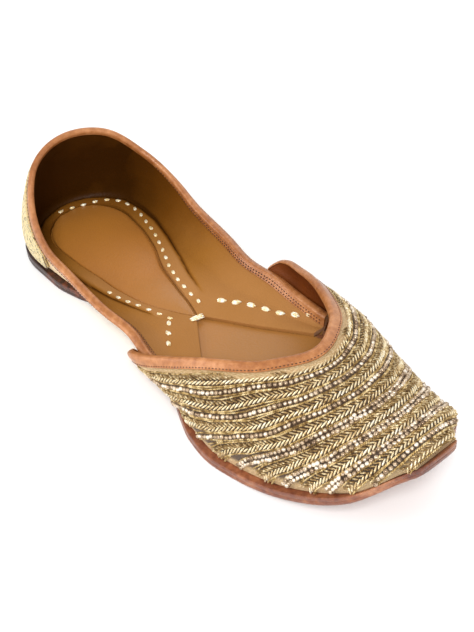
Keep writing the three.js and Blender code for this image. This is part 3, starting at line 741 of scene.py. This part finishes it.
satin = {"Metallic": 0.1, "Coat Weight": 0.15, "Coat Roughness": 0.3}
copper = finish("copper leather", satin, copper_look)
inside_out = -WALL - RIM_GAP - BIND
roll = [
    (3.6, 0.3), (3.68, 0.7), (3.45, 0.98), (2.8, 0.88), (2.2, 0.98), (1.5, 1.05), (0.8, 1.15),
    (0.2, 1.2), (-0.5, 1.0), (-0.95, 0.45), (-1.15, -0.3), (-1.18, -1.0), (-1.0, -1.8),
    (-0.6, -2.4), (0, inside_out), (0.35, inside_out - 0.02),
]  # fmt: skip
fold_in = [(-RIM_GAP, -WALL - RIM_GAP), (-RIM_GAP, 0.3), (2.0, 0.3)]
height = rim_rise(round_heel)


def slim(u, out):
    """The roll is thin round the heel and plump towards the front."""
    return mix(-0.8 + (out + 0.8) * 0.72, out, smoothstep(0.2, 0.55, np.abs(u)))


ring = [wall(round_heel, 1 - down / height, slim(round_heel, out)) for down, out in roll]
for share, out in ((0.5, inside_out), (0.9, inside_out), (1, inside_out + 0.2), (1, -WALL - 0.1)):
    down = share * band_inside(round_heel)
    ring.append(wall(round_heel, 1 - down / height, slim(round_heel, out)))
ring += [wall(round_heel, 1 - down / height, slim(round_heel, out)) for down, out in fold_in]
collar_binding = loft("collar_binding", np.stack(ring, 1))
dress(collar_binding, [copper], "collar_binding")

# ---- Vamp ----
# The embroidered front: gold cloth over a dark ground, painted darker still as the shade between
# the embroidery's strands, backed with leather painted dark red-brown as the shade inside the
# wings, a hood over the toes whose wings lap over the quarter. The cloth is bare along the throat,
# sole and tip.
VAMP_TIP, THROAT, THROAT_BAND, WING = LENGTH - LEDGE, 187.0, 3.8, 0.78
vamp_edge = curve([
    (0, 141), (0.12, 126), (0.22, 118), (0.3, 120.5), (0.45, 137), (0.6, 157), (0.8, 179),
    (1, THROAT), (1.2, 179),
])  # fmt: skip
HANG_AT = (0, 0.152, 0.263, 0.388, 0.528, 0.68, 0.825, 1)
hang_middle = curve(zip(HANG_AT, (1, 0.59, 0.38, 0.28, 0.21, 0.14, 0.07, 0)))
hang_side = curve(zip(HANG_AT, (1, 0.92, 0.68, 0.5, 0.345, 0.225, 0.115, 0)))


def hood(u, s, inset=0.0):
    """The vamp's surface: u from -1 at one side of the sole over the ridge to 1 at the other."""
    x, z = last(s, 1 - np.abs(u), inset)
    return point(s, np.sign(u) * x, z)


def hood_frame(u, s):
    """The surface's derivatives round and ahead, and its outward direction."""
    a, b = np.maximum(-1, u - 0.004), np.minimum(1, u + 0.004)
    round_ = (hood(b, s) - hood(a, s)) / (b - a)[..., None]
    ahead = hood(u, s + 0.5) - hood(u, s - 0.5)
    return round_, ahead, unit(np.cross(ahead, round_))


def back_edge(u):
    return vamp_edge(1 - np.abs(u))


def row_line_s(u, row):
    """Where a row of the embroidery lies at u. The throat is row 0 and the tip is row 1."""
    side = smoothstep(0.5, 0.9, np.abs(u))
    hang = mix(hang_middle(row), hang_side(row), side)
    bend = THROAT - back_edge(np.minimum(WING, np.abs(u))) + 95 * np.maximum(0, np.abs(u) - 0.73)
    return mix(THROAT, VAMP_TIP, row) - hang * bend


def row_station(u, row):
    """The same rows, pressed together where they would pass the back edge, to cover it."""
    u, row = np.broadcast_arrays(np.asarray(u, float), row)
    s = row_line_s(u, row)
    return np.minimum(VAMP_TIP, np.maximum(s, mix(back_edge(u), VAMP_TIP, row / 4)))


def hood_inside(u, s):
    square = hood(u, s) - WALL * hood_frame(u, s)[2]
    toe = smoothstep(210, 230, s)
    return on_sole(mix(square, hood(u, s - 1.5 * WALL * toe, WALL), toe[..., None]))


edge_u = np.linspace(-1, 1, 161)
edge_points = hood(edge_u, back_edge(edge_u))


def clear_of_edge(p):
    """Distance of points from the vamp's back edge."""
    far = np.full(p.shape[:-1], 1e9)
    for q in edge_points:
        far = np.minimum(far, np.linalg.norm(p - q, axis=-1))
    return far


half = np.interp(np.linspace(0, 1, 80), [0, 0.55, 1], [0, 0.32, 1])
vamp_u = np.concatenate([half - 1, (1 - half)[::-1][1:]])
vamp_rows = np.linspace(0, 1, 96)
grid_u, grid_row = np.meshgrid(vamp_u, vamp_rows, indexing="ij")
grid_s = row_station(grid_u, grid_row)
cloth = hood(grid_u, grid_s)
outward = hood_frame(grid_u, grid_s)[2]
off_edge = clear_of_edge(cloth)
raised = smoothstep(THROAT_BAND + 0.6, THROAT_BAND + 1.6, off_edge)
raised = raised * smoothstep(0.02, 0.06, 1 - np.abs(grid_u)) * (1 - smoothstep(0.96, 1, grid_row))
outer = cloth + outward * (0.05 + 0.3 * raised)[..., None]
tip = outer[:, -1].copy()
tip_s = LENGTH / 2 - tip[:, 1] + 0.7
drop = point(tip_s, tip[:, 0] * 1.03, sole_top(tip_s) + 0.15)
nose_fold = np.stack([mix(tip, drop, k) for k in (0.3, 0.65, 1)], 1)
inner = hood_inside(grid_u, grid_s)[:, ::-1]
inner[:, 0] = drop - (0, -1.2, 0)
table = np.concatenate([outer, nose_fold, inner], 1)
zones = np.ones(table.shape[1], int)
zones[: len(vamp_rows) + 3] = 0


def cloth_look(tree, place):
    threads = use(tree, weave, Vector=place["UV"], Pitch=0.6)
    bare = wire(tree, "Attribute", attribute_name="bare").outputs["Fac"]
    gold = ramp(tree, threads["Tone"], (0.3, "a88452"), (0.5, "d8b47e"), (0.72, "f6e2ba"))
    # Under the embroidery the cloth shows a dark ground, painted darker still as the shade in the
    # gaps between strands.
    ground = ramp(tree, threads["Tone"], (0.3, "241408"), (0.5, "4a3016"), (0.7, "8c6a3c"))
    mixed = wire(tree, "Mix", {0: bare, 6: ground, 7: gold}, data_type="RGBA")
    return {
        "Base Color": mixed.outputs[2],
        "Metallic": spread(tree, bare, 0, 1, 0.1, 0.25),
        "Roughness": spread(tree, bare, 0, 1, 0.6, 0.42),
        "Normal": relief(tree, threads["Height"], 0.0002),
    }


gold_cloth = finish("gold cloth", {"Sheen Weight": 0.15}, cloth_look)
# Painted shade: the vamp's lining takes a dark red-brown for the shade inside the wings.
shaded_vamp_lining_look = plain_grain(0.0009, 0.0002, (0.3, "4a1e04"), (0.7, "74380c"))
dull = {"Roughness": 0.5, "Specular IOR Level": 0.25}
vamp_lining = finish("vamp lining in painted shade", dull, shaded_vamp_lining_look)
vamp = loft("vamp", table, zones=zones)
bare_cloth = vamp.data.attributes.new("bare", "FLOAT", "POINT")
spot = vertices(vamp.data) / MM
near_edge = 1 - smoothstep(THROAT_BAND + 2.2, THROAT_BAND + 3.2, clear_of_edge(spot))
near_tip = smoothstep(243, 244.2, LENGTH / 2 - spot[:, 1])
near_sole = 1 - smoothstep(3.2, 6.0, spot[:, 2] - sole_top(LENGTH / 2 - spot[:, 1]))
bare_cloth.data.foreach_set("value", np.maximum.reduce([near_edge, near_tip, near_sole]))
dress(vamp, [gold_cloth, vamp_lining], "vamp")

# ---- Throat binding ----
# The same copper leather folded over the vamp's back edge from one side of the sole round the
# throat to the other, with a rolled top and a row of close dark stitches above its lower edge.


def edge_point(u, forward, out):
    """Points at a true distance forward of the vamp's back edge, and out from it."""
    s = back_edge(u)
    round_, ahead, normal = hood_frame(u, s)
    tangent = hood(u + 0.004, back_edge(u + 0.004)) - hood(u - 0.004, back_edge(u - 0.004))
    square = unit(np.cross(tangent, normal))
    if forward <= 0:
        return on_sole(hood(u, s) + square * forward + normal * out)
    dot = lambda p, q: (p * q).sum(-1)
    a, b, c = dot(round_, round_), dot(round_, ahead), dot(ahead, ahead)
    p, q = dot(square, round_), dot(square, ahead)
    reach = forward / (a * c - b * b)
    at_u, at_s = u + reach * (p * c - q * b), s + reach * (q * a - p * b)
    return on_sole(hood(at_u, at_s) + hood_frame(at_u, at_s)[2] * out)


throat_u = np.linspace(-0.985, 0.985, 1200)
throat_line = hood(throat_u, back_edge(throat_u))
gone = lengths(throat_line)
throat_u = np.interp(np.linspace(0, 1, 240), gone / gone[-1], throat_u)
fold = [
    (3.8, 0.5), (3.86, 0.85), (3.6, 1.15), (3.0, 1.05), (2.4, 1.15), (1.5, 1.25), (0.7, 1.35),
    (0, 1.3), (-0.6, 1.0), (-0.95, 0.45), (-1.05, -0.3), (-1.05, -1.1), (-0.85, -1.6),
    (-0.4, -1.75), (-0.3, -1.4), (-0.3, 0.2), (1.9, 0.5),
]  # fmt: skip
throat_binding = loft("throat_binding", np.stack([edge_point(throat_u, f, o) for f, o in fold], 1))
dress(throat_binding, [copper], "throat_binding")

# ---- Stitches ----
# Close machine stitches in dark thread along both bindings and the heel patch, and long hand
# stitches of pale gold tinsel that hold the turned-in margins down to the sole.
chance = np.random.default_rng(11)


def small_shape(segments, rings):
    """A small round body of a few dozen faces, read once and then taken away."""
    bpy.ops.object.select_all(action="DESELECT")
    bpy.ops.mesh.primitive_uv_sphere_add(
        segments=segments, ring_count=rings, radius=0.5, location=(0, 0, 0)
    )
    bpy.ops.object.mode_set(mode="EDIT")
    bpy.ops.mesh.select_all(action="SELECT")
    bpy.ops.transform.rotate(value=math.pi / 2, orient_axis="Y", center_override=(0, 0, 0))
    bpy.ops.object.mode_set(mode="OBJECT")
    made = bpy.context.object
    corners = np.array([v.co for v in made.data.vertices])
    faces = [list(p.vertices) for p in made.data.polygons]
    bpy.data.objects.remove(made)
    return corners, faces


def strew(name, shape, at, along, over, size, made):
    """One mesh of many copies of a shape. Each lies at a point, its length along one direction and
    its height over the surface, with its size as (length, width, height)."""
    corners, faces = shape
    along = unit(along)
    side = unit(np.cross(over, along))
    axes = np.stack([along, side, np.cross(along, side)], 1)
    size = np.broadcast_to(np.asarray(size, float), at.shape)
    spots = np.einsum("vk,nk,nkc->nvc", corners, size, axes) + at[:, None]
    mesh = bpy.data.meshes.new(name)
    order = (np.arange(len(at)) * len(corners)).tolist()
    every_face = [[i + k for i in face] for k in order for face in faces]
    mesh.from_pydata((spots.reshape(-1, 3) * MM).tolist(), [], every_face)
    mesh.polygons.foreach_set("use_smooth", [True] * len(mesh.polygons))
    piece = bpy.data.objects.new(name, mesh)
    bpy.context.scene.collection.objects.link(piece)
    return dress(piece, [made])


def paced(points, over, pitch):
    """Places at an even pitch along a line of points, the line's direction and the way up there."""
    done = lengths(points)
    ahead = np.gradient(points, axis=0)
    at = np.arange(pitch / 2, done[-1], pitch)
    pick = lambda rows: np.stack([np.interp(at, done, column) for column in rows.T], -1)
    return pick(points), unit(pick(ahead)), unit(pick(over))


def joined(parts):
    """Several sets of places made into one."""
    return [np.concatenate(rows) for rows in zip(*parts)]


def runs(keep):
    """The unbroken stretches of a line where keep holds, as slices of ten points or more."""
    edges = np.flatnonzero(np.diff(np.concatenate([[0], keep.astype(int), [0]])))
    return [slice(a, b) for a, b in zip(edges[::2], edges[1::2]) if b - a > 9]


def glinting(scale, detail, roughness, depth, *stops):
    """The look of metal thread: painted light and dark glints, with a little relief."""

    def look(tree, place):
        glint = specks(tree, place, scale, detail, roughness)
        return {"Base Color": ramp(tree, glint, *stops), "Normal": relief(tree, glint, depth)}

    return look


thread_look = plain_grain(0.0003, 0.0001, (0.3, "2c160a"), (0.7, "5a3420"))
dark_thread = finish("dark thread", {"Roughness": 0.7}, thread_look)
tinsel_look = glinting(900.0, 3.0, 0.5, 0.0003, (0.3, "d8b878"), (0.46, "fae8b8"), (0.6, "fffbe8"))
tinsel = finish("gold tinsel", {"Metallic": 0.3, "Roughness": 0.3}, tinsel_look)
bit = small_shape(6, 4)

SEAM_PITCH, WHIP_PITCH = 1.5, 0.8
fine_u = np.linspace(-0.98, 0.98, 1500)
seams = [(edge_point(fine_u, 3.15, 1.06), hood_frame(fine_u, back_edge(fine_u))[2])]
wall_u = np.linspace(-0.99, 0.99, 1500)
wall_height = rim_rise(wall_u)
outside = lambda up, out: wall(wall_u, up, out) - wall(wall_u, up, out - 0.5)
outer_seam = 1 - 2.95 / wall_height
seams.append((wall(wall_u, outer_seam, slim(wall_u, 0.95)), outside(outer_seam, 0.95)))
for inset in (0.75, 2.2):
    up = 1 - (band_inside(wall_u) - inset) / wall_height
    front = np.abs(wall_u) > 0.2 + 0.1 * inset
    for side in (wall_u < 0, wall_u > 0):
        inner_seam = wall(wall_u, up, slim(wall_u, inside_out - 0.02))
        seams.append((inner_seam[front & side], -outside(up, 0.0)[front & side]))
at, along, over = joined(paced(line, over, SEAM_PITCH) for line, over in seams)
strew("machine_stitches", bit, at, along, over, (0.9, 0.56, 0.36), dark_thread)

up = np.linspace(0.02, 0.98, 200)
patch_seams, normals = [], []
for end in (np.array([-0.992]), np.array([0.992])):
    face = patch_band(end, up), up * patch_reach(end)
    patch_seams.append(wall(*face, 1.05))
    normals.append(wall(*face, 2.05) - patch_seams[-1])
at, along, over = joined(paced(line, over, WHIP_PITCH) for line, over in zip(patch_seams, normals))
slant = along + 0.5 * np.cross(over, along)
strew("patch_thread", bit, at, slant, over, (1.5, 0.5, 0.5), dark_thread)


def on_lining(s, x):
    """Where points above the sole meet the quarter, and the surface's way up there."""
    at, over = [], []
    for a, b in zip(s, x):
        found, spot, normal, _ = quarter.ray_cast((b * MM, (LENGTH / 2 - a) * MM, 0.03), (0, 0, -1))
        at.append(spot / MM if found else (b, LENGTH / 2 - a, float(margin_low(a) + WALL)))
        over.append(normal if found else (0, 0, 1))
    return np.array(at, float), np.array(over, float)


bpy.context.view_layer.update()
strip = np.array([
    (11.6, -3.5), (12.6, 4), (15.8, 11.7), (20, 18.4), (25.4, 22.2), (33, 23.6), (41.5, 22.7),
    (56.1, 19.4), (69.3, 14.5), (80.4, 9.7), (90.7, 6.7), (99, 5.4), (107.5, 4.8),
])  # fmt: skip
back_strip = np.array([(76, -20.2), (84.3, -18.9), (98.7, -14.1), (107.9, -11.0)])
far_front = np.array([(114.5, 11.8), (125.5, 19.7), (136.9, 25.9), (147.7, 33.3)])
near_front = np.array([(110.2, -13.4), (114.8, -17.2), (119.9, -21)])
rows = [(strip, 21, 1.0), (back_strip, 7, 0.9), (far_front, 7, 1.55), (near_front, 3, 1.2)]
parts = []
for line, count, scale in rows:
    spots = evenly(line, count)
    at, over = on_lining(spots[:, 0], spots[:, 1])
    ahead = np.gradient(spots, axis=0)
    along = unit(np.stack([ahead[:, 1], -ahead[:, 0], 0 * ahead[:, 0]], -1))
    along += 0.2 * chance.standard_normal(along.shape) * (1, 1, 0)
    for offset in (-0.42, 0.0, 0.42):
        shift = unit(np.cross(over, along)) * offset * scale
        shift = shift + unit(along) * 0.15 * chance.standard_normal()
        size = np.full(at.shape, scale) * ((2.9, 0.85, 1.05) if offset == 0 else (2.2, 0.8, 0.95))
        parts.append((at + shift + over * (0.2 - 0.15 * (offset != 0)), along, over, size))
at, along, over, size = joined(parts)
strew("hand_stitches", small_shape(8, 6), at, along, over, size, tinsel)

bar_end = np.array([(114.6, -5.2), (116.2, 0.6)])
bar_at = np.stack([point(*mix(bar_end[0], bar_end[1], 0.5), margin_low(115.0) + WALL + 0.6)] * 4)
bar_way = bar_end[1] - bar_end[0]
bar_along = point(LENGTH / 2 + bar_way[0], bar_way[1], 0.0)
bar_side = unit(np.cross((0, 0, 1), bar_along))
bar_at = bar_at + bar_side * np.array([-0.9, -0.3, 0.3, 0.9])[:, None]
bar_along = np.tile(bar_along, (4, 1)) + bar_side * np.array([-0.4, 0.3, -0.2, 0.5])[:, None]
bar_up = np.tile((0.0, 0, 1), (4, 1))
bar_size, bar_shape = (6.4, 0.95, 1.1), small_shape(12, 8)
strew("bar_stitch", bar_shape, bar_at, bar_along, bar_up, bar_size, tinsel)

# ---- Embroidery ----
# Rows of metal-thread work across the vamp: herringbone ropes of slanted strands, each between two
# thin twisted cords, and rows of round silver-white beads, all sewn down by hand on the cloth.
ROPE_ROWS = (0.1, 0.205, 0.325, 0.455, 0.605, 0.75, 0.87, 0.975)
BEAD_ROWS = (0.152, 0.263, 0.388, 0.528, 0.68, 0.812, 0.925)
BEAD_SIZE, CORD_OFF = 1.75, 0.5


def row_frame(row):
    """A fine line of points along an embroidery row: places, directions along and back, way up."""
    u = np.linspace(-0.96, 0.96, 1200)
    s = row_line_s(u, row)
    base, normal = hood(u, s), hood_frame(u, s)[2]
    along = unit(np.gradient(base, axis=0))
    low = base[:, 2] - sole_top(LENGTH / 2 - base[:, 1])
    return base, along, unit(np.cross(normal, along)), normal, (s > back_edge(u) + 1) & (low > 2.0)


frames = {row: row_frame(row) for row in ROPE_ROWS + BEAD_ROWS}


def room(row):
    """Distance from each point of a rope to the nearest of the bead rows beside it."""
    base = frames[row][0]
    beside = [frames[other][0][None, ::12] for other in BEAD_ROWS if abs(other - row) < 0.09]
    away = [np.linalg.norm(base[:, None] - line, axis=-1).min(axis=1) for line in beside]
    return np.minimum.reduce(away)


def rope_half(row):
    """Half width of a rope: it swells where the rows spread on the sides."""
    return np.clip(0.42 * room(row), 1.15, 2.4)


def between(row):
    """Middle of the bare ground between a rope's cord and the next bead row's, if there is any."""
    low, high = rope_half(row) + CORD_OFF + 0.3, room(row) - BEAD_SIZE / 2 - CORD_OFF - 0.3
    return np.where(high - low > 0.5, (low + high) / 2, np.nan)


def lay(rows, offset, over_cloth, pitch, spare):
    """Places along several rows. offset is a distance behind each row, or a function of the row."""
    parts = []
    for row in rows:
        base, along, back, normal, shown = frames[row]
        shift = offset(row) if callable(offset) else np.full(len(base), float(offset))
        line = base + back * np.nan_to_num(shift)[:, None]
        keep = shown & (clear_of_edge(line) > THROAT_BAND + spare) & np.isfinite(shift)
        for run in runs(keep):
            laid = paced((line + normal * over_cloth)[run], normal[run], pitch)
            parts.append((*laid, np.full((len(laid[0]), 1), np.abs(shift[run]).mean())))
    return joined(parts)


def gold_thread_look(tree, place):
    # Painted glints: light and dark specks in the thread's colour.
    glint = specks(tree, place, 700.0, 4.0, 0.7)
    tone = weigh(tree, glint, specks(tree, place, 120.0), 0.65)
    stops = (0.34, "785828"), (0.44, "d2b480"), (0.54, "f9eac4"), (0.68, "fffdf4")
    colour = ramp(tree, tone, *stops)
    return {"Base Color": colour, "Normal": relief(tree, glint, 0.0003)}


def bead_look(tree, place):
    glint = specks(tree, place, 300.0)
    colour = ramp(tree, glint, (0.35, "866e56"), (0.5, "c4ac8e"), (0.62, "f2e6d4"))
    return {"Base Color": colour, "Roughness": spread(tree, glint, 0.3, 0.7, 0.22, 0.42)}


# Painted shade: a darker copy of the gold thread for the ropes' back strands.
shaded_thread_look = glinting(600.0, 4.0, 0.7, 0.0003, (0.36, "503618"), (0.5, "a08150"), (0.64, "ecdab0"))
cord_look = glinting(500.0, 3.0, 0.5, 0.0002, (0.35, "6e5028"), (0.5, "bc9c60"), (0.65, "f2deae"))
gold_thread = finish("gold thread", {"Metallic": 0.5, "Roughness": 0.32}, gold_thread_look)
shaded_thread = finish("gold thread in painted shade", {"Metallic": 0.6, "Roughness": 0.42}, shaded_thread_look)
yellow_cord = finish("yellow gold cord", {"Metallic": 0.5, "Roughness": 0.4}, cord_look)
silver_bead = finish("silver bead", {"Metallic": 0.6}, bead_look)
strand = small_shape(8, 6)
# Front strands take the lighter gold thread and back strands the darker copy: painted light and
# shade across each rope.
for side, made in ((-1, gold_thread), (1, shaded_thread)):
    at, along, over, half = lay(ROPE_ROWS, lambda row: side * 0.5 * rope_half(row), 0.75, 1.9, 1.7)
    lean = along - side * 0.66 * np.cross(over, along) + 0.06 * chance.standard_normal(at.shape)
    size = np.concatenate([half * 4.2, 0.62 + 0.2 * half, 0 * half + 1.15], 1)
    name = "rope_back" if side > 0 else "rope_front"
    strew(name, strand, at, lean, over, size, made)
for side in (-1, 1):
    at, along, over, _ = joined([
        lay(ROPE_ROWS, lambda row: side * (rope_half(row) + CORD_OFF), 0.5, 0.95, 0.8),
        lay(BEAD_ROWS, side * (BEAD_SIZE / 2 + CORD_OFF), 0.45, 0.95, 0.8),
        lay(ROPE_ROWS, lambda row: side * between(row), 0.4, 1.1, 0.8),
    ])  # fmt: skip
    lean = along + 0.5 * np.cross(over, along)
    name = "cord_back" if side > 0 else "cord_front"
    strew(name, bit, at, lean, over, (1.5, 0.56, 0.75), yellow_cord)
singles = lay(BEAD_ROWS[:3] + BEAD_ROWS[6:], 0.0, 0.85, 2.0, 1.2)
doubles = [lay(BEAD_ROWS[3:6], side * 0.9, 0.8, 1.95, 1.2) for side in (-1, 1)]
at, along, over, _ = joined([singles, *doubles])
at = at + 0.12 * chance.standard_normal(at.shape)
size = BEAD_SIZE * (1 + 0.07 * chance.standard_normal((len(at), 1))) * np.array([[1, 1, 0.85]])
strew("beads", strand, at, along, over, size, silver_bead)

# ---- Floor, light and camera ----
# The shoe stands on a plain pale floor under large soft lights, seen from its near side, in front
# and above, at the photograph's angle.
bpy.ops.object.select_all(action="DESELECT")
bpy.ops.mesh.primitive_plane_add(size=8, location=(0, 0, -0.0002))
floor = bpy.context.object
floor.name = "floor"


def floor_look(tree, place):
    return {"Base Color": ramp(tree, specks(tree, place, 3.0), (0.3, "f4f4f4"), (0.7, "f8f8f8"))}


matt = {"Roughness": 0.9, "Specular IOR Level": 0.1}
floor.data.materials.append(finish("pale floor", matt, floor_look))

world = bpy.data.worlds.new("studio")
bpy.context.scene.world = world
world.use_nodes = True
sky = world.node_tree.nodes["Background"].inputs
sky["Color"].default_value, sky["Strength"].default_value = (1, 1, 1, 1), 0.6


def softbox(name, spot, size, power):
    lamp = bpy.data.lights.new(name, "AREA")
    lamp.size, lamp.energy = size, power
    lamp_object = bpy.data.objects.new(name, lamp)
    bpy.context.scene.collection.objects.link(lamp_object)
    lamp_object.location = spot
    lamp_object.rotation_mode = "QUATERNION"
    lamp_object.rotation_quaternion = (-Vector(spot)).to_track_quat("-Z", "Y")


softbox("key", (-0.5, -0.6, 0.95), 0.35, 11)
softbox("fill", (0.9, 0.4, 0.8), 0.9, 4)
softbox("heel light", (-0.9, 0.55, 0.5), 0.6, 5)

bpy.context.scene.view_settings.view_transform = "Standard"
PHOTO_WIDTH, PHOTO_HEIGHT, PHOTO_FOCAL = 474, 632, 782
AZIMUTH, ELEVATION, DISTANCE = math.radians(-43.2), math.radians(42.1), 0.471
LOOK_AT = Vector((0.0432, -0.0197, 0.02))
SHOE_PIXEL, ENLARGE = (177, 338), 1.42
level = math.cos(ELEVATION)
back_way = Vector((math.sin(AZIMUTH) * level, -math.cos(AZIMUTH) * level, math.sin(ELEVATION)))
photo_turn = (-back_way).to_track_quat("-Z", "Y")
offset = Vector((SHOE_PIXEL[0] - PHOTO_WIDTH / 2, PHOTO_HEIGHT / 2 - SHOE_PIXEL[1], -PHOTO_FOCAL))
aim = (photo_turn @ offset).normalized()
camera = bpy.data.objects.new("camera", bpy.data.cameras.new("camera"))
bpy.context.scene.collection.objects.link(camera)
camera.location = LOOK_AT + back_way * DISTANCE
camera.rotation_mode = "QUATERNION"
camera.rotation_quaternion = (-back_way).rotation_difference(aim) @ photo_turn
camera.data.lens = PHOTO_FOCAL * ENLARGE * 36 / PHOTO_HEIGHT
camera.data.clip_start = 0.01
bpy.context.scene.camera = camera
